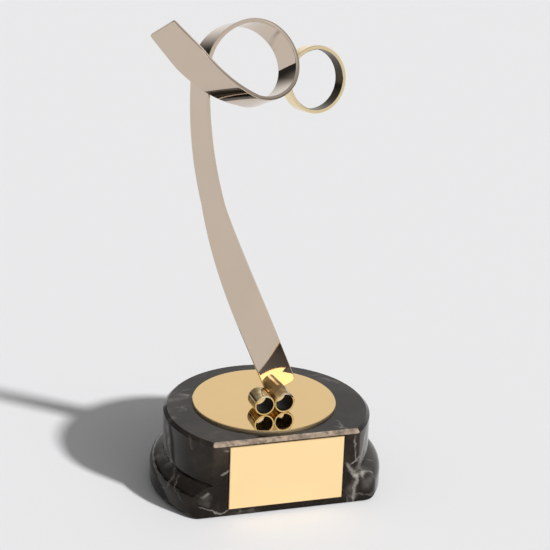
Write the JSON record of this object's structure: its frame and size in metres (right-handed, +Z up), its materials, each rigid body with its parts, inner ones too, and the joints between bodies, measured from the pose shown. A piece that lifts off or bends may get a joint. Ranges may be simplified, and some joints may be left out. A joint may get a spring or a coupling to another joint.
{
  "type": "trophy",
  "caption": "Sculpture trophy: a bent and twisted flat strip with a loop and a small ring stands on a round stone base with a front plate.",
  "frame": {"origin": "on the floor plane, under the axis of the round stone base", "axes": "+Z up, -Y out of the front plate, +X to the right seen from the front"},
  "size_m": [0.1325, 0.1072, 0.2605],
  "materials": {
    "black_stone": "polished, with thin pale veins",
    "felt": "felt",
    "mirror_gold": "mirror polished",
    "plain_brass": "as drawn",
    "plated_steel": "zinc plated",
    "adhesive": "film",
    "satin_gold": "fine satin",
    "polished_brass": "polished",
    "nickel": "polished nickel plate"
  },
  "bodies": {
    "root": {"marble_base": "black_stone", "base_felt": "felt", "top_disc": "mirror_gold", "disc_stud": "plain_brass", "stud_washer": "plated_steel", "stud_nut": "plated_steel", "plate_film": "adhesive", "name_plate": "satin_gold", "tube_left": "polished_brass", "tube_right": "polished_brass", "figure_strip": "nickel", "small_ring": "polished_brass"}
  },
  "joints": []
}
